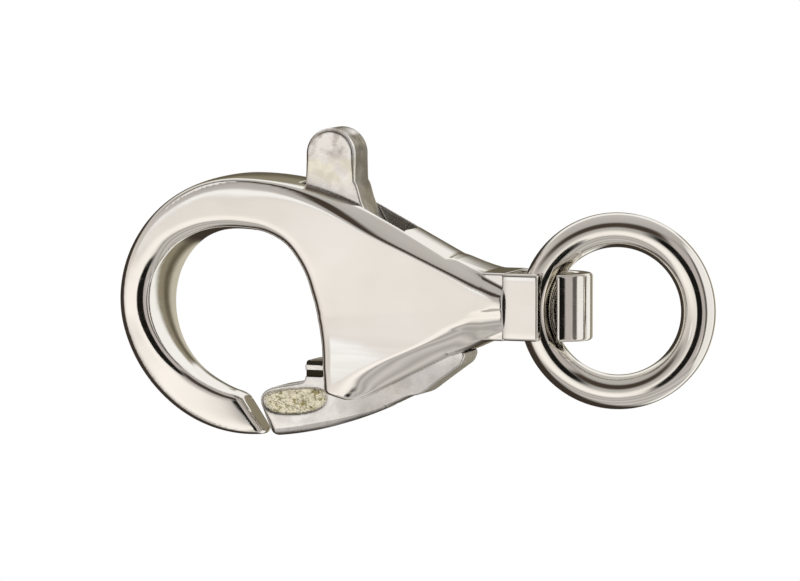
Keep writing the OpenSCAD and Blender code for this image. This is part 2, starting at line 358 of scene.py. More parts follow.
# The clasp's frame

@dataclass(frozen=True)
class Layout:
    """Sizes that more than one piece needs, and the way from plan millimetres to the row frame."""

    hook_r: float = 3.45
    half_t: float = 1.23
    tab_top: float = 4.69
    slot_t: float = 1.2
    pivot: Tuple[float, float] = (3.84, -0.22)
    lower_r: float = 8.8
    lower_turn: float = math.radians(26.5)
    lever_open: float = math.radians(16)
    tab_x: float = 2.365
    tab_w: float = 1.36
    flare: float = 0.2
    flare_y: float = 2.7
    hub_r: float = 1.05
    heel_end: float = 6.1
    bail_w: float = 1.74
    bail_y: float = 0.2
    bail_h: float = 0.93
    seat_gap: float = 0.01
    ring_wire: float = 0.9
    ring_od: float = 5.1
    ring_axis: float = 7.98
    ring_y: float = 0.08
    ring_lead: float = 0.1

    @property
    def ring_r(self) -> float:
        """Radius of the ring's wire circle."""
        return (self.ring_od - self.ring_wire) / 2

    @property
    def ring_arm(self) -> float:
        """Distance from the swing axis to the ring's centre."""
        return self.ring_r - self.ring_lead

    @property
    def ring_tilt(self) -> float:
        """Angle at which the ring's far side touches the surface."""
        return math.asin((self.half_t - self.ring_wire / 2) / (self.ring_arm + self.ring_r))

    @property
    def shift(self) -> Array:
        """Place of the hook's centre in the row frame, in millimetres."""
        end = (self.ring_axis + (self.ring_arm + self.ring_r) * math.cos(self.ring_tilt)
               + self.ring_wire / 2)
        return np.array([-(end - self.hook_r) / 2, -(self.tab_top - self.hook_r) / 2, self.half_t])

    def flank(self, x: Array, y: Array, r: float, turn: float) -> Array:
        """Distance outwards from a flank: an arc that touches the hook, then its straight.

        Formula: distance to the arc's centre less r, or the distance along the straight's normal.

        Args:
            x: places along the clasp.
            y: places across it, positive towards the flank.
            r: radius of the arc.
            turn: angle of the straight to the clasp's length.

        Returns:
            Distances, negative within the flank.
        """
        off = r - self.hook_r
        arc = np.hypot(x, y + off) - r
        line = x * math.sin(turn) + y * math.cos(turn) - r + off * math.cos(turn)
        return np.where(x * math.cos(turn) < (y + off) * math.sin(turn), arc, line)

    def place(self, points: Array) -> Array:
        """Plan millimetres to metres in the row frame."""
        return (points + self.shift) * MM


LAYOUT = Layout()


def solid_object(name: str, shell: Shell3D, material: bpy.types.Material,
                 crease: Optional[float] = None) -> bpy.types.Object:
    """Blender object at the origin from a mesh in plan millimetres.

    Args:
        name: name of the piece.
        shell: its points, faces, normals and marks.
        material: what it is dressed with.
        crease: angle in degrees over which an edge stays sharp, or None for smooth all over.

    Returns:
        The linked object.
    """
    mesh = bpy.data.meshes.new(name)
    mesh.from_pydata(LAYOUT.place(shell.points).tolist(), [], shell.faces.tolist())
    mesh.polygons.foreach_set("use_smooth", np.ones(len(mesh.polygons), bool))
    for mark, values in shell.marks.items():
        attribute = mesh.attributes.new(mark, "FLOAT", "POINT")
        attribute.data.foreach_set("value", np.clip(values, 0, 1).astype(np.float32))
    if shell.normals is not None:
        mesh.normals_split_custom_set_from_vertices(shell.normals.tolist())
    mesh.materials.append(material)
    mesh.update()
    obj = bpy.data.objects.new(name, mesh)
    bpy.context.scene.collection.objects.link(obj)
    if crease is not None:
        mesh.set_sharp_from_angle(angle=math.radians(crease))
    return obj


# Finishes

@dataclass(frozen=True)
class Pattern:
    """Noise with a scale in bumps a metre, layers of finer noise with a strength, and a stretch.

    Its layer() goes from the range span to the range to.
    """

    scale: float
    detail: float = 3.0
    rough: float = 0.55
    stretch: Corner = (1, 1, 1)
    span: Pair = (0.0, 1.0)
    to: Pair = (0.0, 1.0)


class NodeBoard:
    """Short calls for building one material's nodes."""

    def __init__(self, name: str, tree: Optional[bpy.types.NodeTree] = None) -> None:
        """Starts an empty board.

        Args:
            name: name of the material.
            tree: the world's nodes, where the board isn't a material's.
        """
        self.tree = tree
        if tree is not None:
            tree.nodes.clear()
            return
        self.material = bpy.data.materials.new(name)
        self.material.use_nodes = True
        self.tree = self.material.node_tree
        self.tree.nodes.clear()
        self.output = self.tree.nodes.new("ShaderNodeOutputMaterial")
        self.shader = self.add("ShaderNodeBsdfPrincipled")
        self.tree.links.new(self.shader.outputs[0], self.output.inputs["Surface"])
        self.coords = self.add("ShaderNodeTexCoord").outputs["Object"]

    def add(self, kind: str, **values: object) -> bpy.types.Node:
        """New node with its properties set.

        Args:
            kind: Blender's name for the kind of node.
            values: the properties.

        Returns:
            The node.
        """
        node = self.tree.nodes.new(kind)
        for key, value in values.items():
            setattr(node, key, value)
        return node

    def link(self, source: Socket, target: Socket) -> None:
        """Joins two sockets."""
        self.tree.links.new(source, target)

    def noise(self, pattern: Pattern, turn: float = 0.0) -> Socket:
        """Noise on object coordinates.

        Args:
            pattern: what it looks like.
            turn: angle about Z, in degrees, that the pattern is turned by.

        Returns:
            The value, about 0.5 in the mean.
        """
        mapping = self.add("ShaderNodeMapping")
        mapping.inputs["Scale"].default_value = pattern.stretch
        mapping.inputs["Rotation"].default_value = (0, 0, math.radians(turn))
        self.link(self.coords, mapping.inputs["Vector"])
        node = self.add("ShaderNodeTexNoise")
        node.inputs["Scale"].default_value = pattern.scale
        node.inputs["Detail"].default_value = pattern.detail
        node.inputs["Roughness"].default_value = pattern.rough
        self.link(mapping.outputs[0], node.inputs["Vector"])
        return node.outputs["Fac"]

    def layer(self, pattern: Pattern) -> Socket:
        """Noise taken from the pattern's span to its range."""
        return self.ramp(self.noise(pattern), pattern.span, pattern.to)

    def ramp(self, source: Socket, span: Pair, to: Pair = (0.0, 1.0),
             way: str = "LINEAR") -> Socket:
        """Source stretched from one range to another and held at its ends.

        Args:
            source: the value.
            span: range that it comes from.
            to: range that it goes to.
            way: Blender's name for the rise between them.

        Returns:
            The stretched value.
        """
        node = self.add("ShaderNodeMapRange", interpolation_type=way)
        for key, value in zip(("From Min", "From Max", "To Min", "To Max"), (*span, *to)):
            node.inputs[key].default_value = value
        self.link(source, node.inputs["Value"])
        return node.outputs[0]

    def mark(self, name: str) -> Socket:
        """Value of a mark on the mesh, such as its share of painted shade."""
        return self.add("ShaderNodeAttribute", attribute_name=name).outputs["Fac"]

    def maths(self, operation: str, a: Socket, *others: Union[float, Socket]) -> Socket:
        """Result of a sum.

        Args:
            operation: Blender's name for the sum.
            a: first socket.
            others: further sockets or numbers.

        Returns:
            The result.
        """
        node = self.add("ShaderNodeMath", operation=operation)
        self.link(a, node.inputs[0])
        for target, other in zip(list(node.inputs)[1:], others):
            if isinstance(other, (int, float)):
                target.default_value = other
            else:
                self.link(other, target)
        return node.outputs[0]

    def blend(self, share: Socket, a: Union[Colour, Socket], b: Colour) -> Socket:
        """Mean of two colours.

        Args:
            share: 0 for the first colour, 1 for the second.
            a: first colour, or its socket.
            b: second colour.

        Returns:
            The colour.
        """
        node = self.add("ShaderNodeMix", data_type="RGBA")
        self.link(share, node.inputs[0])
        if isinstance(a, tuple):
            node.inputs[6].default_value = (*a, 1)
        else:
            self.link(a, node.inputs[6])
        node.inputs[7].default_value = (*b, 1)
        return node.outputs[2]

    def bump(self, height: Socket, depth: float, strength: float,
             below: Optional[Socket] = None) -> Socket:
        """Normal from a height.

        Args:
            height: value from 0 to 1.
            depth: real depth in metres.
            strength: share of that depth which shows.
            below: normal that this one lies on, or None.

        Returns:
            The bent normal.
        """
        node = self.add("ShaderNodeBump")
        node.inputs["Strength"].default_value = strength
        node.inputs["Distance"].default_value = depth
        self.link(height, node.inputs["Height"])
        if below is not None:
            self.link(below, node.inputs["Normal"])
        return node.outputs[0]


class Grain(Enum):
    """What the tool left on the metal: direction of its fine lines in plan, in degrees."""

    ALONG_SHELL = -20
    ALONG_STRIP = 0
    ALL_ROUND = 45


@dataclass(frozen=True)
class SilverFinish:
    """Silver with a warm cast, fine lines, small dents and painted shade where the mesh is marked.
    """

    name: str
    colour: Colour = (0.93, 0.91, 0.88)
    shade: Colour = (0.88, 0.86, 0.81)
    # Near-black colour of the painted shade where the mesh is marked.
    painted_shade: Colour = (0.06, 0.05, 0.04)
    smooth: float = 0.05
    dull: float = 0.14
    # Roughness added where the painted shade lies.
    painted_shade_dull: float = 0.25
    dents: float = 0.15
    dent_depth: float = 2e-5
    lines: float = 0.1
    line_depth: float = 2e-6
    grain: Grain = Grain.ALL_ROUND
    cloud: Pattern = Pattern(420, 2, span=(0.35, 0.65))
    speck: Pattern = Pattern(2600, 4, span=(0.3, 0.7), to=(0.75, 1.15))
    line: Pattern = Pattern(5200, 3, stretch=(0.05, 1, 1), span=(0.35, 0.7))
    dent: Pattern = Pattern(900, 2)

    def material(self) -> bpy.types.Material:
        """Material with its nodes.

        Returns:
            A new material.
        """
        board = NodeBoard(self.name)
        shader = board.shader
        shader.inputs["Metallic"].default_value = 1.0
        tint = board.blend(board.layer(self.cloud), self.colour, self.shade)
        # Painted shade: marked places are darkened in specks towards the near-black colour.
        dark = board.mark("painted_shade")
        share = board.maths("MULTIPLY", dark, board.layer(self.speck))
        board.link(board.blend(share, tint, self.painted_shade), shader.inputs["Base Color"])
        lines = board.noise(self.line, self.grain.value)
        gloss = board.ramp(lines, self.line.span, (self.smooth, self.dull))
        gloss = board.maths("ADD", gloss, board.maths("MULTIPLY", dark, self.painted_shade_dull))
        board.link(gloss, shader.inputs["Roughness"])
        soft = board.bump(board.noise(self.dent), self.dent_depth, self.dents)
        board.link(board.bump(lines, self.line_depth, self.lines, soft), shader.inputs["Normal"])
        return board.material


@dataclass(frozen=True)
class TumbledFinish:
    """Cast silver that was only tumbled: matte, pale, mottled, with a stippled blank panel."""

    name: str
    colour: Colour = (0.96, 0.94, 0.90)
    pale: Colour = (0.96, 0.95, 0.94)
    mottle: Colour = (0.50, 0.46, 0.42)
    warm: Colour = (0.97, 0.94, 0.80)
    lit: Colour = (0.94, 0.90, 0.70)
    olive: Colour = (0.36, 0.32, 0.15)
    # Near-black colour of the painted shade where the mesh is marked.
    painted_shade: Colour = (0.03, 0.025, 0.015)
    cloud: Pattern = Pattern(500, 2, span=(0.4, 0.62))
    patches: Pattern = Pattern(2400, 2, span=(0.38, 0.55))
    spots: Pattern = Pattern(2600, 4, span=(0.45, 0.62), to=(0, 0.9))
    stipple: Pattern = Pattern(6500, 3, 0.75, span=(0.5, 0.6))
    gloss: Pattern = Pattern(1500, 3, span=(0.3, 0.7), to=(0.19, 0.32))
    relief: Pattern = Pattern(1300, 4, 0.7)
    relief_depth: float = 2e-5
    relief_share: float = 0.5
    pits: Pattern = Pattern(5200, 3, 0.7)
    pit_depth: float = 5e-5
    pit_share: float = 0.9

    def material(self) -> bpy.types.Material:
        """Material with its nodes.

        Returns:
            A new material.
        """
        board = NodeBoard(self.name)
        shader = board.shader
        shader.inputs["Metallic"].default_value = 1.0
        tint = board.blend(board.layer(self.cloud), self.colour, self.pale)
        patches = board.maths("MULTIPLY", board.layer(self.patches), board.mark("warm"))
        tint = board.blend(patches, tint, self.warm)
        spots = board.maths("MULTIPLY", board.layer(self.spots), board.mark("mottled"))
        tint = board.blend(spots, tint, self.mottle)
        tint = board.blend(board.mark("panel"), tint, self.lit)
        stipple = board.maths("MULTIPLY", board.mark("panel"), board.layer(self.stipple))
        tint = board.blend(stipple, tint, self.olive)
        # Painted shade where the mesh is marked.
        tint = board.blend(board.mark("painted_shade"), tint, self.painted_shade)
        board.link(tint, shader.inputs["Base Color"])
        board.link(board.layer(self.gloss), shader.inputs["Roughness"])
        soft = board.bump(board.noise(self.relief), self.relief_depth, self.relief_share)
        pits = board.maths("MULTIPLY", board.noise(self.pits), board.mark("panel"))
        board.link(board.bump(pits, self.pit_depth, self.pit_share, soft), shader.inputs["Normal"])
        return board.material


# Hook and shell

@dataclass
class HookAndShell:
    """Hook and hollow shell: sections carried round the hook's opening, cut by the lever's slot."""

    layout: Layout = LAYOUT

    # Plan: the opening, the shell's end, its upper flank and the lower flank's inset.
    eye_r: float = 2.2
    eye_round: float = 0.34
    eye_fall: float = 0.6
    shell_tip: float = 7.3
    upper_r: float = 7.6
    upper_turn: float = math.radians(27.5)
    flange_inset: float = 0.42

    # Section: the bevel and the crown of the face.
    bevel_w: float = 0.38
    bevel_d: float = 0.5
    face_crown: float = 0.08

    # Collar round the strip: its length, the part of it at full size, and its root.
    collar_l: float = 1.4
    collar_full: float = 0.6
    collar_low: float = 0.65
    collar_in: float = 0.06
    collar_edge: float = 0.07
    collar_join: float = 0.3

    # Slot for the lever, and the bore for its pin.
    stop_gap: float = 0.12
    slot_room: float = 0.35
    slot_fall: float = 1.45
    slot_heel: float = 0.65
    slot_edge: float = 0.03
    bore_r: float = 0.41
    bore_half: float = 0.96

    # Fillets, and the bands over which one form runs into the next.
    edge_soft: float = 0.05
    tip_soft: float = 0.16
    mouth_soft: float = 0.10
    turn_band: float = 0.06
    crown_full: float = 3.0
    crown_least: float = 0.05
    crown_span: Pair = (-0.2, 1.3)
    even_rows: int = 1
    even_rounds: int = 2
    z_soft: float = 1e-4
    crease_soft: float = 0.2
    crease_most: float = 0.45
    crease_least: float = 0.02
    wall_barrel: float = 0.12
    rim_barrel: float = 0.1

    # Sampling: sections to a row, rows near an end, the map of first guesses, and the net's box.
    per_row: int = 40
    end_rows: int = 4
    least_turn: float = 1e-3
    map_low: Pair = (-4.2, -4.4)
    map_high: Pair = (8.2, 4.4)
    map_step: float = 0.08
    map_skip: int = 8
    map_parts: int = 12
    net_step: float = 0.045
    net_low: Corner = (-3.6, -3.6, -1.35)
    net_high: Corner = (7.45, 3.6, 1.35)
    # Share of painted shade on the slot's inner walls.
    slot_shade: float = 0.55
    finish: SilverFinish = SilverFinish("polished_silver", grain=Grain.ALONG_SHELL)

    # Columns: direction of the outer and the inner edge in degrees, then shares of the eye's
    # radius, half the thickness, the inner rounding, the bevel's width and its depth, then the
    # outer edge's shape, from 1 for a flat bevel to 2 for a round one.
    rows: Tuple[Tuple[float, ...], ...] = (
        (278, 264, 1.07, 0.36, 0.50, 0.50, 0.45, 2.0),
        (267, 256, 1.06, 0.46, 0.52, 0.65, 0.60, 2.0),
        (246, 242, 1.05, 0.54, 0.58, 0.85, 0.75, 2.0),
        (224, 223, 1.07, 0.63, 0.70, 0.95, 0.90, 2.0),
        (203, 203, 1.10, 0.78, 1.00, 1.00, 1.00, 2.0),
        (183, 183, 1.12, 0.94, 1.35, 1.00, 1.05, 2.0),
        (163, 163, 1.11, 1.00, 1.40, 0.95, 1.05, 2.0),
        (143, 143, 1.06, 1.00, 1.30, 0.85, 1.00, 2.0),
        (123, 123, 0.98, 1.00, 1.10, 0.70, 0.90, 2.0),
        (103, 103, 0.92, 1.00, 0.95, 0.55, 0.80, 2.0),
        (86, 86, 0.90, 1.00, 0.85, 0.50, 0.75, 1.9),
        (70, 69, 0.92, 1.00, 0.80, 0.50, 0.80, 1.7),
        (54, 52, 0.93, 1.00, 0.80, 0.65, 0.90, 1.4),
        (40, 38, 0.91, 1.00, 0.80, 0.88, 1.00, 1.1),
        (28, 24, 0.90, 1.00, 0.80, 1.05, 1.00, 1.0),
        (17, 12, 0.90, 1.00, 0.80, 0.95, 0.95, 1.0),
        (8, 1, 0.93, 1.00, 0.80, 0.75, 0.75, 1.0),
        (4, -3.5, 0.95, 1.00, 0.80, 0.80, 0.50, 1.0),
        (2, -6, 0.96, 1.00, 0.80, 2.00, 0.50, 1.1),
        (0, -8, 0.97, 1.00, 0.80, 4.60, 0.70, 1.2),
        (-8, -16, 1.03, 1.00, 0.80, 3.60, 1.10, 1.3),
        (-17, -24, 1.11, 1.00, 0.80, 3.10, 1.20, 1.3),
        (-27, -32, 1.21, 1.00, 0.80, 2.20, 1.10, 1.3),
        (-33, -38, 1.32, 1.00, 0.80, 1.60, 0.85, 1.4),
        (-37, -43, 1.43, 1.00, 0.80, 1.10, 0.60, 1.5),
    )

    def __post_init__(self) -> None:
        """Works out the sections and the plan's map once.

        Formula: each column follows a cubic through the rows, with the slope that its neighbours
        give. The crown is as wide as the section less its bevel and inner rounding, averaged over a
        window of sections.
        """
        table = np.array(self.rows)
        self.last = len(table) - 1
        s = np.linspace(0, self.last, self.last * self.per_row + 1)
        i = np.minimum(s.astype(int), self.last - 1)
        t = (s - i)[:, None]
        a, b = table[np.maximum(i - 1, 0)], table[i]
        d, e = table[i + 1], table[np.minimum(i + 2, self.last)]
        self.table = (b + t * (d - a) / 2 + t ** 2 * (2 * a - 5 * b + 4 * d - e) / 2
                      + t ** 3 * (3 * b - a - 3 * d + e) / 2)
        q_out, q_in = np.radians(self.table[:, 0]), np.radians(self.table[:, 1])
        way_out = np.stack([np.cos(q_out), np.sin(q_out)], axis=1)
        way_in = np.stack([np.cos(q_in), np.sin(q_in)], axis=1)
        self.inner = (self.table[:, 2] * self.eye_r)[:, None] * way_in
        self.outer = self._reach(q_out)[:, None] * way_out
        length = np.linalg.norm(self.outer - self.inner, axis=1)
        plain = length - self.bevel_w - self.table[:, 4] * self.eye_round
        window = self.even_rows * self.per_row
        taps = 2 * window + 1
        for _ in range(self.even_rounds):
            plain = np.convolve(np.pad(plain, window, mode="edge"), np.ones(taps), "valid") / taps
        self.crown_w = plain[:, None]
        self._map_plan()

    def _flank_reach(self, p: Array, r: float, turn: float, inset: float) -> Array:
        """Distance from the hook's centre to one flank.

        Formula: where the ray meets the flank's arc, or its straight beyond the arc's end.

        Args:
            p: angles from the clasp's length towards the flank.
            r: radius of the arc.
            turn: angle of the straight to the clasp's length.
            inset: how far the edge lies inside the flank.

        Returns:
            Distances.
        """
        off = r - self.layout.hook_r
        straight = (r - off * math.cos(turn) - inset) / np.sin(turn + p)
        arc = np.sqrt((r - inset) ** 2 - (off * np.cos(p)) ** 2) - off * np.sin(p)
        past = r * math.sin(turn) * np.tan(p) < r * math.cos(turn) - off
        return np.where(past, straight, arc)

    def _reach(self, q: Array) -> Array:
        """Distance from the hook's centre to the outer edge.

        Formula: the hook's radius, or the two flanks' reach blended over a small angle.

        Args:
            q: directions, in radians.

        Returns:
            Distances.
        """
        at = self.layout
        up = np.clip(q, self.least_turn, math.pi / 2 - self.least_turn)
        down = np.clip(-q, self.least_turn, math.pi / 2 - self.least_turn)
        high = self._flank_reach(up, self.upper_r, self.upper_turn, 0.0)
        low = self._flank_reach(down, at.lower_r, at.lower_turn, self.flange_inset)
        share = smooth_step(q, -self.turn_band, self.turn_band)
        return np.where(q >= math.pi / 2, at.hook_r, share * high + (1 - share) * low)

    def _map_plan(self) -> None:
        """Station of the nearest section at each node of a plan grid, for a first guess."""
        x = np.arange(self.map_low[0], self.map_high[0], self.map_step)
        y = np.arange(self.map_low[1], self.map_high[1], self.map_step)
        gx, gy = [g.ravel()[:, None] for g in np.meshgrid(x, y, indexing="ij")]
        inner, run = self.inner[::self.map_skip], (self.outer - self.inner)[::self.map_skip]
        best = np.empty(len(gx))
        for part in np.array_split(np.arange(len(gx)), self.map_parts):
            dx, dy = gx[part] - inner[:, 0], gy[part] - inner[:, 1]
            share = np.clip((dx * run[:, 0] + dy * run[:, 1]) / (run ** 2).sum(axis=1), 0, 1)
            gap = (dx - share * run[:, 0]) ** 2 + (dy - share * run[:, 1]) ** 2
            best[part] = np.argmin(gap, axis=1) * self.map_skip / self.per_row
        self.guess = best.reshape(len(x), len(y))

    def _row_at(self, data: Array, s: Array, hold: float = 1.000001) -> Array:
        """Rows of a sampled table, straight between samples.

        Args:
            data: the table.
            s: stations.
            hold: samples from the table's length to the last place that is read.

        Returns:
            One row for each station.
        """
        k = np.clip(s * self.per_row, 0, len(data) - hold)
        i = k.astype(int)
        t = (k - i)[..., None]
        return data[i] * (1 - t) + data[i + 1] * t

    def _side(self, x: Array, y: Array, s: Array) -> Array:
        """How far a plan point lies beside the line of a section, times the section's length.

        Args:
            x: places along the clasp.
            y: places across it.
            s: stations of those places.

        Returns:
            Products, negative on the side of lower stations.
        """
        inner, outer = self._row_at(self.inner, s), self._row_at(self.outer, s)
        run = outer - inner
        return (x - inner[..., 0]) * run[..., 1] - (y - inner[..., 1]) * run[..., 0]

    def station(self, x: Array, y: Array, h: float = 0.02, steps: int = 3,
                most: float = 0.5) -> Array:
        """Station of the section that passes through each plan point.

        Formula: the nearest sampled section, then steps of Newton's rule on the cross product of
        the section's direction and the way to the point.

        Args:
            x: places along the clasp.
            y: places across it.
            h: stations to both sides for the slope.
            steps: steps of Newton's rule.
            most: stations that one step may move.

        Returns:
            Stations, from 0 at the hook's tip.
        """
        gx = np.clip((x - self.map_low[0]) / self.map_step, 0, self.guess.shape[0] - 1)
        gy = np.clip((y - self.map_low[1]) / self.map_step, 0, self.guess.shape[1] - 1)
        s = self.guess[np.rint(gx).astype(int), np.rint(gy).astype(int)]
        for _ in range(steps):
            low, high = np.clip(s - h, 0, self.last), np.clip(s + h, 0, self.last)
            slope = (self._side(x, y, high) - self._side(x, y, low)) / (high - low)
            slope = np.where(np.abs(slope) < NO_SLOPE, NO_SLOPE, slope)
            move = np.clip(self._side(x, y, s) / slope, -most, most)
            s = np.clip(s - move, 0, self.last)
        return s

    def rim(self, x: Array, y: Array, s: Array) -> Array:
        """Distance outwards from the outer edge: the hook's circle, or the shell's two flanks.

        Args:
            x: places along the clasp.
            y: places across it.
            s: stations of those places.

        Returns:
            Distances, negative within the edge.
        """
        at = self.layout
        circle = np.hypot(x, y) - at.hook_r
        upper = at.flank(x, y, self.upper_r, self.upper_turn)
        lower = at.flank(x, -y, at.lower_r, at.lower_turn) + self.flange_inset
        shell = round_both(upper, lower, self.edge_soft)
        return np.where((x < 0) | (s < self.end_rows), circle, shell)

    def _beyond(self, x: Array, y: Array, k: int, way: float) -> Array:
        """Distance past the line of one section.

        Args:
            x: places along the clasp.
            y: places across it.
            k: sample of the section.
            way: 1 where lower stations are beyond it, -1 where higher ones are.

        Returns:
            Distances, negative on the metal's side.
        """
        run = self.outer[k] - self.inner[k]
        run = way * run / np.linalg.norm(run)
        return -(x - self.inner[k, 0]) * run[1] + (y - self.inner[k, 1]) * run[0]

    def ends(self, x: Array, y: Array, s: Array, inside: float = -2.0) -> Array:
        """Distance outwards from the flat ends at the hook's tip and at the gate's mouth.

        Args:
            x: places along the clasp.
            y: places across it.
            s: stations of those places.
            inside: what stands for a place that is far from both ends.

        Returns:
            Distances, negative on the metal's side.
        """
        mouth = np.where(s > self.last - self.end_rows, self._beyond(x, y, -1, -1), inside)
        return np.where(s < self.end_rows, self._beyond(x, y, 0, 1), mouth)

    def slot_outline(self, past: float = 4) -> Array:
        """Outline of the lever's slot in plan, round the tab, the open lever and the heel.

        Args:
            past: how far the slot runs out across the clasp.

        Returns:
            Corners, as rows of x and y.
        """
        at = self.layout
        px, py = at.pivot
        left = at.tab_x - at.tab_w / 2 - self.stop_gap
        right = at.tab_x + at.tab_w / 2
        top = (px + (right + at.flare - px) * math.cos(at.lever_open)
               + (at.flare_y - py) * math.sin(at.lever_open) + self.slot_room)
        end = at.heel_end + self.stop_gap
        return np.array([
            (left, -past), (left, past), (top, past), (top, at.hook_r - self.slot_fall),
            (px + at.hub_r + self.slot_heel, py + at.hub_r), (end, py + at.hub_r / 2),
            (end, -past)])

    def collar(self, x: Array, y: Array, z: Array) -> Array:
        """Signed distance to the collar, a block that grows out of the flanks round the strip.

        Formula: its sides and top run straight from the flanks to the strip's, and stay there over
        the last stretch.

        Args:
            x: places along the clasp.
            y: places across it.
            z: heights.

        Returns:
            Signed distances, negative inside.
        """
        at = self.layout
        start = self.shell_tip - self.collar_l
        share = np.clip((x - start) / (self.collar_l - self.collar_full), 0, 1)
        off, lower_x = at.lower_r - at.hook_r, at.lower_r * math.sin(at.lower_turn)
        low = (off - at.lower_r * math.cos(at.lower_turn)
               + (start - lower_x) * math.tan(at.lower_turn)
               + self.flange_inset / math.cos(at.lower_turn) + self.collar_in)
        high = (self.upper_r - (self.upper_r - at.hook_r) * math.cos(self.upper_turn)
                - start * math.sin(self.upper_turn)) / math.cos(self.upper_turn) - self.collar_in
        side, top = at.bail_w / 2 + at.seat_gap, at.bail_h + at.seat_gap
        below = low + share * (at.bail_y - side - low) - y
        above = y - high - share * (at.bail_y + side - high)
        over = np.abs(z) - self.collar_low - share * (top - self.collar_low)
        return np.maximum(round_both(np.maximum(below, above), over, self.collar_edge), start - x)

    def skin(self, x: Array, y: Array, z: Array) -> Array:
        """Signed distance to the hook and shell before anything is cut.

        Formula: along each section the face is a flat parabola over the crown's width. The outer
        edge is a straight bevel, a quarter of an ellipse or a mean of the two, and is blended into
        the face over a band. The inner edge is a quarter of an ellipse that ends in a slightly
        barrelled wall.

        Args:
            x: places along the clasp.
            y: places across it.
            z: heights.

        Returns:
            Signed distances, negative inside.
        """
        s = self.station(x, y)
        column = np.moveaxis(self._row_at(self.table, s), -1, 0)
        inner, outer = self._row_at(self.inner, s), self._row_at(self.outer, s)
        run = outer - inner
        w = np.linalg.norm(run, axis=-1)
        p = ((x - inner[..., 0]) * run[..., 0] + (y - inner[..., 1]) * run[..., 1]) / w
        h = column[3] * self.layout.half_t
        e = column[4] * self.eye_round
        bevel, drop = column[5] * self.bevel_w, column[6] * self.bevel_d
        up = np.hypot(z, self.z_soft)

        # The face. Its crown grows with the width and levels off at face_crown.
        crown_w = np.maximum(self._row_at(self.crown_w, s)[..., 0], self.crown_least)
        crown = crown_w / self.crown_full
        crown = self.face_crown * crown / (1 + crown ** 4) ** 0.25
        face = up - h + crown * (2 * np.clip((p - e) / crown_w, *self.crown_span) - 1) ** 2
        low = h - crown * (2 * np.clip((w - bevel - e) / crown_w, 0, 1) - 1) ** 2

        # The outer edge: share is 0 for the straight bevel and 1 for the ellipse.
        u, v = (p - w + bevel) / bevel, (up - low + drop) / drop
        flat = (u + v - 1) / np.hypot(1 / bevel, 1 / drop)
        round_off = ellipse_edge(u, v, bevel, drop)
        share = (2 ** (-1 / column[7]) - 0.5) / (math.sqrt(0.5) - 0.5)
        out = flat + share * (round_off - flat)
        most = np.minimum(self.crease_soft, self.crease_most * np.hypot(bevel, drop))
        band = self.crease_least + most * (1 - share)

        # The inner edge, then the rim and the ends.
        fall, top = e * self.eye_fall, h - crown
        wall = self.wall_barrel * (up / top) ** 2 - p
        inside = ellipse_edge((wall + e) / e, (up - top + fall) / fall, e, fall)
        f = soften(soften(face, out, band), inside, self.crease_least)
        f = round_both(f, self.rim(x, y, s) + self.rim_barrel * (up / low) ** 2, self.edge_soft)
        at_tip = s < self.end_rows
        return round_both(f, self.ends(x, y, s), np.where(at_tip, self.tip_soft, self.mouth_soft))

    def solid(self, x: Array, y: Array, z: Array) -> Array:
        """Signed distance to the finished body, with slot, pin bore and cut end.

        Args:
            x: places along the clasp.
            y: places across it.
            z: heights.

        Returns:
            Signed distances, negative inside.
        """
        at = self.layout
        up = np.abs(z)
        f = join_soft(self.skin(x, y, z), self.collar(x, y, z), self.collar_join)
        f = round_both(f, x - self.shell_tip, self.edge_soft)
        slot = np.maximum(outline_distance(x, y, self.slot_outline()), up - at.slot_t / 2)
        f = round_both(f, -slot, self.slot_edge)
        away = np.hypot(x - at.pivot[0], y - at.pivot[1])
        return np.maximum(f, -np.maximum(away - self.bore_r, up - self.bore_half))

    def build(self) -> bpy.types.Object:
        """Makes the dressed body.

        Returns:
            The object, riding on the clasp in place of the CAD body.
        """
        shell = SkinNet(self.net_step).cover(self.solid, self.net_low, self.net_high)
        x, y, z = shell.points.T
        # Painted shade: the slot's inner walls are darkened, most deep inside the slot.
        deep = smooth_step(-outline_distance(x, y, self.slot_outline()), -0.04, 0.1)
        walls = np.abs(z) < self.layout.slot_t / 2 + self.slot_edge
        shell.marks["painted_shade"] = self.slot_shade * deep * walls
        body = solid_object("hook_and_shell", shell, self.finish.material())
        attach(body, "clasp")
        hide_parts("body")
        return body


# Lever

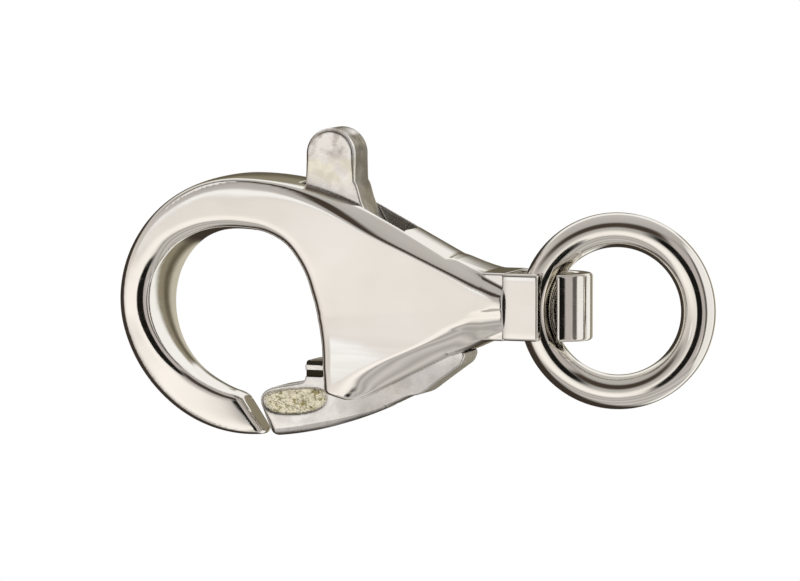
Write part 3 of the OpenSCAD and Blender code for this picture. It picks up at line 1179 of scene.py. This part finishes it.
@dataclass
class Lever:
    """Lever with its gate, heel and thumb tab: one plate with soft edges."""

    layout: Layout = LAYOUT
    lever_t: float = 1.1
    gate_tip: float = 0.38
    gate_w: float = 1.3
    shoulder_h: float = 0.56
    shoulder_gap: float = 0.02
    step_up: float = 0.2
    grooves: Tuple[Pair, ...] = ((0.5, 0.05), (0.22, 0.08))
    groove_deep: float = 0.1
    groove_end: float = 2.15
    groove_edge: float = 0.015
    heel_at: float = 4.85
    heel_drop: float = 0.13
    web_back: float = 1.42
    gate_edge: float = 0.12
    web_join: float = 0.04
    tab_join: float = 0.02
    tab_foot: float = 0.3
    bore_r: float = 0.43
    spring_r: float = 0.63
    spring_wire: float = 0.2
    pocket_wires: float = 2.5
    pocket_r: float = 2.0
    pocket_at: float = math.radians(58)
    pocket_fan: float = math.radians(21)
    panel_at: Pair = (1.38, -2.48)
    panel_half: Pair = (0.9, 0.34)
    panel_turn: float = math.radians(6)
    panel_bend: float = 0.06
    panel_power: float = 2.6
    panel_deep: float = 0.05
    panel_edge: float = 0.02
    soft: Tuple[float, float, float] = (0.05, 0.07, 0.2)
    # Shares of painted shade on the panel's edge, the tab's side and the lower part by the shell.
    panel_edge_shade: float = 0.6
    tab_side_shade: float = 0.35
    under_flange_shade: float = 0.3
    net_step: float = 0.032
    net_low: Corner = (0.2, -3.7, -0.65)
    net_high: Corner = (6.3, 4.85, 0.65)
    finish: TumbledFinish = TumbledFinish("tumbled_silver")

    def _low(self, x: float) -> float:
        """Height of the straight lower flank.

        Args:
            x: place along the clasp.

        Returns:
            Place across it.
        """
        at = self.layout
        off, start = at.lower_r - at.hook_r, at.lower_r * math.sin(at.lower_turn)
        return off - at.lower_r * math.cos(at.lower_turn) + (x - start) * math.tan(at.lower_turn)

    @property
    def step_y(self) -> float:
        """Foot of the small step on the gate, across the clasp."""
        return self.gate_w - self.layout.hook_r + self.step_up

    def outlines(self) -> Tuple[Array, Array]:
        """Outlines of the gate and of the web behind it.

        Each row is a corner's x and y and its rounding. The plain numbers are offsets from the
        named size that the corner hangs on.

        Returns:
            Points of the two outlines.
        """
        at = self.layout
        top, low = self.gate_w - at.hook_r, -at.hook_r - 0.5
        left, right = at.tab_x - at.tab_w / 2, at.tab_x + at.tab_w / 2
        start = at.lower_r * math.sin(at.lower_turn)
        shoulder, step = left - self.shoulder_gap, self.step_y
        px, py = at.pivot
        tip, heel, end = self.gate_tip, self.heel_at, at.heel_end
        gate = rounded_corners([
            (tip + 0.75, low, 0), (tip + 0.2, top - 1.05, 0.3), (tip, top - 0.25, 0.2),
            (tip + 0.25, top, 0.25), (shoulder, step, 0.12),
            (shoulder, step + self.shoulder_h, 0.08), (start, step + self.shoulder_h, 0),
            (start, low, 0)])
        web = rounded_corners([
            (px - self.web_back, top, 0), (start - 0.01, self._low(start), 0),
            (heel - 0.35, self._low(heel - 0.35), 0.2),
            (heel, self._low(heel) - self.heel_drop, 0.2),
            (heel + 0.5, self._low(heel + 0.5), 0.2), (end - 0.1, self._low(end) + 0.1, 0.1),
            (end, self._low(end) + 0.35, 0.1), (px + at.hub_r + 0.15, py + 0.15, 0.3),
            (px + 0.6, py + 0.9, 0.3), (right + at.flare, at.flare_y, 0.3), (right, at.hook_r, 0.3),
            (left, at.hook_r, 0), (left, at.hook_r - 1.85, 0.1),
            (left + 0.4, at.hook_r - 2.65, 0.3), (px - self.web_back, py, 0.2)])
        return gate, web

    def plan(self, x: Array, y: Array) -> Array:
        """Signed distance to the lever's outline: gate, web, round tab and hub in one.

        Args:
            x: places along the clasp.
            y: places across it.

        Returns:
            Signed distances, negative inside.
        """
        at = self.layout
        gate_line, web_line = self.outlines()
        flank = np.hypot(x, y - (at.lower_r - at.hook_r)) - at.lower_r
        gate = round_both(outline_distance(x, y, gate_line), flank, self.gate_edge)
        web = outline_distance(x, y, web_line)
        hub = np.hypot(x - at.pivot[0], y - at.pivot[1]) - at.hub_r
        r = at.tab_w / 2
        tab = np.hypot(x - at.tab_x, y - np.clip(y, at.hook_r - self.tab_foot, at.tab_top - r)) - r
        f = join_soft(gate, web, self.web_join)
        return np.minimum(join_soft(f, tab, self.tab_join), hub)

    def panel(self, x: Array, y: Array) -> Array:
        """Rough distance to the blank panel's edge.

        Formula: a squarish oval, the sum of two powers, turned and bent with the gate.

        Args:
            x: places along the clasp.
            y: places across it.

        Returns:
            Signed distances, negative inside.
        """
        along, across = x - self.panel_at[0], y - self.panel_at[1]
        c, s = math.cos(self.panel_turn), math.sin(self.panel_turn)
        u = along * c + across * s
        v = across * c - along * s - self.panel_bend * (u / self.panel_half[0]) ** 2
        size = (np.abs(u / self.panel_half[0]) ** self.panel_power
                + np.abs(v / self.panel_half[1]) ** self.panel_power) ** (1 / self.panel_power)
        return (size - 1) * self.panel_half[1]

    def solid(self, x: Array, y: Array, z: Array) -> Array:
        """Signed distance to the lever, with its bore, the spring's pocket, panel and grooves.

        Formula: the plan and the thickness with a fillet that is larger on the tab and the gate.
        The pocket is a ring and a fan round the pin, cut from the front down to the coil's foot.

        Args:
            x: places along the clasp.
            y: places across it.
            z: heights.

        Returns:
            Signed distances, negative inside.
        """
        at, half = self.layout, self.lever_t / 2
        up = np.abs(z)
        soft = (self.soft[0] + self.soft[1] * smooth_step(y, 3.0, 4.0)
                + self.soft[2] * smooth_step(-y, 2.5, 3.1))
        f = round_both(self.plan(x, y), up - half, soft)
        away = np.hypot(x - at.pivot[0], y - at.pivot[1])
        f = np.maximum(f, self.bore_r - away)
        turn = np.arctan2(y - at.pivot[1], x - at.pivot[0])
        fan = np.abs(turn - self.pocket_at) - self.pocket_fan
        fan = np.maximum(fan * away, away - self.pocket_r)
        pocket = np.minimum(away - self.spring_r - self.spring_wire, fan)
        f = np.maximum(f, -np.maximum(pocket, half - self.pocket_wires * self.spring_wire - z))
        panel = np.maximum(self.panel(x, y), half - self.panel_deep - up)
        f = round_both(f, -panel, self.panel_edge)
        for height, wide in self.grooves:
            band = np.abs(y - self.step_y - height) - wide
            groove = np.maximum(band, half - self.groove_deep - up)
            f = round_both(f, -np.maximum(groove, x - self.groove_end), self.groove_edge)
        return f

    def marks(self, x: Array, y: Array, z: Array) -> Dict[str, Array]:
        """Where the metal is stippled, mottled and warm, and where shade is painted on it.

        Formula: products of smooth steps along x, y, the height and the distance to the panel.

        Args:
            x: places along the clasp.
            y: places across it.
            z: heights.

        Returns:
            Marks by name, from 0 to 1.
        """
        at, half, up = self.layout, self.lever_t / 2, np.abs(z)

        # The plain numbers are where a step begins and ends, in millimetres.
        face = smooth_step(up, half - 0.12, half - 0.04)
        panel = self.panel(x, y)
        # Painted shade along the sunk panel's edge, strongest along its lower side.
        rim = np.exp(-(panel / 0.035) ** 2) * face * (0.25 + 0.75 * smooth_step(-y, 2.45, 2.7))
        # Painted shade in the two grooves across the gate's shoulder.
        bands = [smooth_step(-np.abs(y - self.step_y - height), -wide - 0.02, -wide + 0.01)
                 for height, wide in self.grooves]
        grooves = sum(bands) * smooth_step(up, 0.4, 0.44) * (x < self.groove_end + 0.05)
        right = at.tab_x + at.tab_w / 2
        # Painted shade on the tab's right side face.
        tab_side = (self.tab_side_shade * smooth_step(x, right - 0.06, right - 0.01)
                    * smooth_step(y, 3.0, 3.3) * smooth_step(-y, -4.45, -4.2) * (up < 0.5))
        # Painted shade on the lever's lower part past x 2.3, where it meets the shell.
        under = self.under_flange_shade * smooth_step(x, 2.3, 3.2) * smooth_step(-y, 1.0, 1.5)
        return {
            "panel": face * (1 - smooth_step(panel, -0.05, 0.02)),
            # Every part of this mark is painted shade.
            "painted_shade": np.maximum.reduce([self.panel_edge_shade * rim, grooves, tab_side, under]),
            "mottled": 0.3 + 0.7 * smooth_step(y, 3.8, 4.2),
            "warm": face * smooth_step(y, 3.1, 3.4) * smooth_step(-y, -4.0, -3.8),
        }

    def build(self) -> bpy.types.Object:
        """Makes the dressed lever.

        Returns:
            The object, riding on the lever in place of the CAD one.
        """
        shell = SkinNet(self.net_step).cover(self.solid, self.net_low, self.net_high)
        shell.marks.update(self.marks(*shell.points.T))
        lever = solid_object("lever", shell, self.finish.material())
        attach(lever, "lever")
        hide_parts("lever")
        return lever


# Bail and ring

@dataclass
class Bail:
    """Strip bent round the ring: a soft-edged section carried from the opening round to its end."""

    layout: Layout = LAYOUT
    thick: float = 0.33
    fold_x: float = 8.2
    fold_l: float = 1.16
    start_x: float = 6.85
    gap_x: float = 8.2
    gap_l: float = 0.51
    bend: float = 0.2
    soft: float = 0.09
    tip: float = 0.06
    per_side: int = 12
    end_steps: int = 6
    # Span along x over which the painted shade on the strip fades out, and its share.
    stub_dark: Pair = (7.2, 7.4)
    stub_shade: float = 0.5
    crease: float = 60
    finish: SilverFinish = SilverFinish("bail_silver", grain=Grain.ALONG_STRIP)

    def section(self, arcs: int = 8) -> Array:
        """Outline of the strip's section: a box with round corners.

        Args:
            arcs: points on a corner.

        Returns:
            Rows of the offsets outwards and across.
        """
        a, b = self.thick / 2 - self.soft, self.layout.bail_w / 2 - self.soft
        turn = np.linspace(0, math.pi / 2, arcs)
        points = []
        for k, (sx, sy) in enumerate(((1, 1), (-1, 1), (-1, -1), (1, -1))):
            q = turn + k * math.pi / 2
            corner = [sx * a + self.soft * np.cos(q), sy * b + self.soft * np.sin(q)]
            points.append(np.stack(corner, axis=1))
        sides = [np.linspace(points[k][-1], points[(k + 1) % 4][0], self.per_side)[1:-1]
                 for k in range(4)]
        return np.concatenate([part for pair in zip(points, sides) for part in pair])

    def path(self, straights: int = 15, corners: int = 10, around: int = 72) -> Tuple[Array, Array]:
        """Middle line of the strip and its outward direction.

        Formula: a straight from the opening to the shell, a quarter circle, the web, a quarter
        circle, a straight, then an ellipse up to the opening's other side.

        Args:
            straights: points on a straight.
            corners: points on a quarter circle.
            around: points on the ellipse.

        Returns:
            Points and outward directions, as rows of x and z.
        """
        tall, long = self.layout.bail_h - self.thick / 2, self.fold_l - self.thick / 2
        left = self.start_x + self.thick / 2 + self.bend
        straight = np.linspace(self.gap_x, left, straights)[:-1]
        corner = np.linspace(math.pi / 2, math.pi, corners)
        lower = -corner[::-1]
        q = np.linspace(-math.pi / 2, math.acos(self.gap_l / self.fold_l), around)
        flat = np.ones(len(straight))
        x = [straight, left + self.bend * np.cos(corner), left + self.bend * np.cos(lower),
             straight[::-1], self.fold_x + long * np.cos(q)[1:]]
        z = [tall * flat, tall - self.bend * (1 - np.sin(corner)),
             self.bend * (1 + np.sin(lower)) - tall, -tall * flat, tall * np.sin(q)[1:]]
        nx = [0 * flat, np.cos(corner), np.cos(lower), 0 * flat, np.cos(q)[1:]]
        nz = [flat, np.sin(corner), np.sin(lower), -flat, np.sin(q)[1:]]
        line, out = [np.stack([np.concatenate(a), np.concatenate(b)], axis=1)
                     for a, b in ((x, z), (nx, nz))]
        return line, out

    def build(self) -> bpy.types.Object:
        """Makes the dressed bail.

        Formula: the section carried along the path, drawn in by a quarter circle at both ends.

        Returns:
            The object, riding on the clasp in place of the CAD bail.
        """
        outline = self.section()
        line, out = self.path()

        # The rounding takes the place of the first point and of the last three.
        turn = np.linspace(0, math.pi / 2, self.end_steps)[:, None]
        way = np.stack([line[0] - line[1], line[-1] - line[-2]])
        way = way / np.linalg.norm(way, axis=1, keepdims=True)
        back = self.tip * (1 - np.sin(turn))
        line = np.concatenate([line[0] - back[::-1] * way[0], line[1:-3], line[-1] - back * way[1]])
        first, last = np.repeat(out[:1], len(turn), 0), np.repeat(out[-1:], len(turn), 0)
        out = np.concatenate([first, out[1:-3], last])
        inset = self.tip * (1 - np.cos(turn[:, 0]))
        inset = np.concatenate([inset[::-1], np.zeros(len(line) - 2 * len(turn)), inset])[:, None]

        across = outline[None, :, 0] * (1 - inset / (self.thick / 2))
        side = outline[None, :, 1] * (1 - inset / (self.layout.bail_w / 2))
        xz = line[:, None] + across[..., None] * out[:, None]
        rings = np.stack([xz[..., 0], self.layout.bail_y + side, xz[..., 1]], axis=-1)
        faces = swept_grid(rings, False).tolist()
        n, m = rings.shape[1], rings.shape[0]
        faces.append(list(range(n))[::-1])
        faces.append(list(range((m - 1) * n, m * n)))
        shell = Shell3D(rings.reshape(-1, 3), np.array(faces, dtype=object))
        # Painted shade on the strip where it runs into the shell's collar.
        outside = smooth_step(shell.points[:, 0], *self.stub_dark)
        shell.marks["painted_shade"] = self.stub_shade * (1 - outside)
        bail = solid_object("bail", shell, self.finish.material(), self.crease)
        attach(bail, "clasp")
        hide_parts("bail")
        return bail


@dataclass
class JumpRing:
    """Soldered ring of round wire that hangs in the bail."""

    layout: Layout = LAYOUT
    finish: SilverFinish = SilverFinish("ring_silver", grain=Grain.ALL_ROUND)

    def build(self, around: int = 200, wire: int = 72) -> bpy.types.Object:
        """Makes the dressed ring.

        Formula: a circle of the wire's radius carried round the ring's circle, then tilted about
        the swing axis until its far side touches the surface.

        Args:
            around: places round the ring.
            wire: points round the wire.

        Returns:
            The object, riding on the ring in place of the CAD one.
        """
        at = self.layout
        u = np.linspace(0, 2 * math.pi, around, endpoint=False)[:, None]
        v = np.linspace(0, 2 * math.pi, wire, endpoint=False)[None, :]
        reach = at.ring_r + at.ring_wire / 2 * np.cos(v)
        x = at.ring_arm + reach * np.cos(u)
        y = reach * np.sin(u)
        z = np.broadcast_to(at.ring_wire / 2 * np.sin(v), x.shape)
        c, s = math.cos(at.ring_tilt), math.sin(at.ring_tilt)
        rings = np.stack([at.ring_axis + x * c + z * s, at.ring_y + y, z * c - x * s], axis=-1)
        shell = Shell3D(rings.reshape(-1, 3), swept_grid(rings, True)[:, ::-1])
        shell.marks["painted_shade"] = np.zeros(len(shell.points))
        ring = solid_object("jump_ring", shell, self.finish.material())
        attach(ring, "jump_ring")
        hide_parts("jump_ring")
        return ring


# Studio

@dataclass(frozen=True)
class Card:
    """Soft ellipse of one colour on the mirror ball, or all that lies outside it where rim is set.

    The ball is the one that the camera sees: at and half are in shares of its radius.
    """

    at: Pair
    half: Pair
    colour: Colour
    soft: float = 0.3
    turn: float = 0.0
    rim: bool = False


# Level of the tent at heights on the mirror ball, under one warm tint, and the cards laid over it.
TENT_TINT: Colour = (1.0, 0.955, 0.91)
TENT_LEVELS: Tuple[Pair, ...] = (
    (-1.0, 0.2), (-0.93, 0.45), (-0.87, 0.65), (-0.8, 0.4), (-0.72, 0.66), (-0.64, 0.42),
    (-0.56, 0.64), (-0.48, 0.4), (-0.41, 0.6), (-0.36, 0.34), (-0.29, 0.9), (-0.22, 1.05),
    (-0.13, 1.0), (-0.08, 0.86), (-0.04, 0.68), (0.02, 0.5), (0.36, 0.45), (0.6, 0.5),
    (0.76, 0.55), (1.0, 0.6),
)
TENT_CARDS: Tuple[Card, ...] = (
    Card((-0.95, -0.1), (0.45, 0.9), (0.74, 0.69, 0.65), 0.35),
    Card((-0.13, 0.27), (0.42, 0.13), (0.06, 0.045, 0.035), 0.45, 12),
    Card((0.60, 0.0), (0.22, 0.55), (0.92, 0.90, 0.87), 0.15),
    Card((0.24, 0.0), (0.14, 0.42), (0.50, 0.46, 0.44), 0.25),
    Card((0.43, 0.0), (0.06, 0.40), (0.12, 0.11, 0.10), 0.3),
    Card((0, 0), (0.81, 0.86), (0.98, 0.97, 0.95), 0.03, rim=True),
    Card((0, 0), (0.898, 0.955), (0.27, 0.24, 0.17), 0.012, rim=True),
    Card((0, 0), (0.927, 0.986), (0.13, 0.11, 0.075), 0.008, rim=True),
    Card((0, 0), (0.951, 1.012), (0.56, 0.52, 0.42), 0.012, rim=True),
    Card((0.05, -0.08), (0.15, 0.27), (0.010, 0.009, 0.008), 0.12),
    Card((0.411, 0.838), (0.22, 0.042), (0.95, 0.93, 0.90), 0.3, -26),
    Card((-0.34, -0.035), (0.05, 0.022), (1.0, 0.99, 0.985), 0.5),
    Card((0.5, 0.25), (1.22, 1.16), (0.045, 0.035, 0.027), 0.05, rim=True),
)


@dataclass
class Studio:
    """Pale floor, a soft tent with bright and dark cards, and the camera of the photograph."""

    layout: Layout = LAYOUT
    yaw: float = math.radians(20)
    pitch: float = math.radians(5)
    scale: float = 0.02626
    hook_px: Pair = (253.0, 303.5)
    frame_px: Tuple[int, int] = (800, 581)
    lens: float = 300.0
    sensor: float = 36.0
    clip: Pair = (0.005, 10.0)
    floor_r: float = 0.35

    def axes(self) -> Tuple[Vector, Vector, Vector]:
        """Directions of the photograph's camera.

        Returns:
            To the right, up and back to the camera.
        """
        back = Vector((math.sin(self.yaw) * math.cos(self.pitch), math.sin(self.pitch),
                       math.cos(self.yaw) * math.cos(self.pitch)))
        right = Vector((math.cos(self.yaw), 0, -math.sin(self.yaw)))
        return right, back.cross(right), back

    def camera(self) -> bpy.types.Object:
        """Camera that sees the hook's centre at its pixel, along the photograph's direction.

        Returns:
            The scene's camera.
        """
        right, up, back = self.axes()
        to_right = self.frame_px[0] / 2 - self.hook_px[0]
        to_top = self.hook_px[1] - self.frame_px[1] / 2
        aim = (Vector(self.layout.shift) + right * to_right * self.scale
               + up * to_top * self.scale) * MM
        data = bpy.data.cameras.new("photo_camera")
        data.lens, data.sensor_width = self.lens, self.sensor
        distance = self.frame_px[0] * self.scale * MM * self.lens / self.sensor
        data.clip_start, data.clip_end = self.clip
        camera = bpy.data.objects.new("photo_camera", data)
        turn = Matrix((right, up, back)).transposed()
        camera.matrix_world = Matrix.Translation(aim + back * distance) @ turn.to_4x4()
        bpy.context.scene.collection.objects.link(camera)
        bpy.context.scene.camera = camera
        return camera

    def floor(self, sides: int = 96) -> bpy.types.Object:
        """Round pale floor under the clasp.

        Args:
            sides: sides of its outline.

        Returns:
            The floor, which stays out of the metal's reflections.
        """
        q = np.linspace(0, 2 * math.pi, sides, endpoint=False)
        points = self.floor_r * np.stack([np.cos(q), np.sin(q), 0 * q], axis=1)
        mesh = bpy.data.meshes.new("floor")
        mesh.from_pydata(points.tolist(), [], [list(range(len(q)))])
        floor = bpy.data.objects.new("floor", mesh)
        bpy.context.scene.collection.objects.link(floor)
        board = NodeBoard("pale_floor")
        board.tree.nodes.remove(board.shader)
        shine = board.add("ShaderNodeEmission")
        shine.inputs["Color"].default_value = (1, 1, 1, 1)
        board.link(shine.outputs[0], board.output.inputs["Surface"])
        floor.visible_glossy = False
        mesh.materials.append(board.material)
        return floor

    def _ball(self, board: NodeBoard) -> Tuple[Socket, Socket]:
        """Where a mirror ball seen by the camera would show each ray.

        Formula: the ball's normal is half way between the ray and the way to the camera.

        Args:
            board: the world's nodes.

        Returns:
            The normal's share upwards, and its shares to the right and up as one vector.
        """
        ray = board.add("ShaderNodeTexCoord").outputs["Generated"]
        shares = []
        for direction in self.axes():
            node = board.add("ShaderNodeVectorMath", operation="DOT_PRODUCT")
            board.link(ray, node.inputs[0])
            node.inputs[1].default_value = direction
            shares.append(node.outputs["Value"])
        right, up, back = shares
        square = board.maths("MAXIMUM", board.maths("MULTIPLY_ADD", back, 2.0, 2.0), LEAST)
        length = board.maths("SQRT", square)
        x, y = board.maths("DIVIDE", right, length), board.maths("DIVIDE", up, length)
        ball = board.add("ShaderNodeCombineXYZ")
        board.link(x, ball.inputs[0])
        board.link(y, ball.inputs[1])
        return y, ball.outputs[0]

    def light(self) -> None:
        """Soft tent. Its colour is set by where a mirror ball seen by the camera would show it.

        Formula: the base colour follows the ball's height, and each card is a soft ellipse over it.
        """
        world = bpy.data.worlds.new("tent")
        world.use_nodes = True
        bpy.context.scene.world = world
        board = NodeBoard(world.name, world.node_tree)
        height, ball = self._ball(board)
        base = board.add("ShaderNodeValToRGB")
        while len(base.color_ramp.elements) < len(TENT_LEVELS):
            base.color_ramp.elements.new(0.5)
        for element, (place, level) in zip(base.color_ramp.elements, TENT_LEVELS):
            element.position = (place + 1) / 2
            element.color = (*(level * part for part in TENT_TINT), 1)
        board.link(board.ramp(height, (-1, 1)), base.inputs[0])
        colour = base.outputs[0]
        for card in TENT_CARDS:
            mapping = board.add("ShaderNodeMapping", vector_type="TEXTURE")
            mapping.inputs["Location"].default_value = (*card.at, 0)
            mapping.inputs["Rotation"].default_value = (0, 0, math.radians(card.turn))
            mapping.inputs["Scale"].default_value = (*card.half, 1)
            board.link(ball, mapping.inputs["Vector"])
            size = board.add("ShaderNodeVectorMath", operation="LENGTH")
            board.link(mapping.outputs[0], size.inputs[0])
            edge, to = (1 - card.soft, 1 + card.soft), (0, 1) if card.rim else (1, 0)
            share = board.ramp(size.outputs["Value"], edge, to, "SMOOTHSTEP")
            colour = board.blend(share, colour, card.colour)
        back = board.add("ShaderNodeBackground")
        board.link(colour, back.inputs[0])
        out = board.add("ShaderNodeOutputWorld")
        board.link(back.outputs[0], out.inputs[0])


def dress_hidden(name: str, finish: SilverFinish) -> None:
    """Gives a CAD node that stays its material.

    Args:
        name: name of the node.
        finish: what it is dressed with.
    """
    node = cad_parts[name]
    material = finish.material()
    for slot in node.material_slots:
        slot.material = material
    slots = len(node.material_slots)
    log.info("%s: %d faces, %d slots dressed", name, len(node.data.polygons), slots)


def main() -> None:
    """Builds the clasp's pieces in order, then the studio."""
    logging.basicConfig(level=logging.INFO, format="%(name)s %(message)s")
    for maker in (HookAndShell(), Lever(), Bail(), JumpRing()):
        piece = maker.build()
        log.info("%s: %d faces", piece.name, len(piece.data.polygons))
    dress_hidden("pivot_pin", SilverFinish("pin_silver", dull=0.3))
    dress_hidden("lever_spring", SilverFinish(
        "spring_steel", colour=(0.55, 0.55, 0.56), shade=(0.5, 0.5, 0.51), dull=0.3))
    studio = Studio()
    studio.camera()
    studio.floor()
    studio.light()
    bpy.context.scene.view_settings.view_transform = "Standard"


if __name__ == "__main__":
    main()
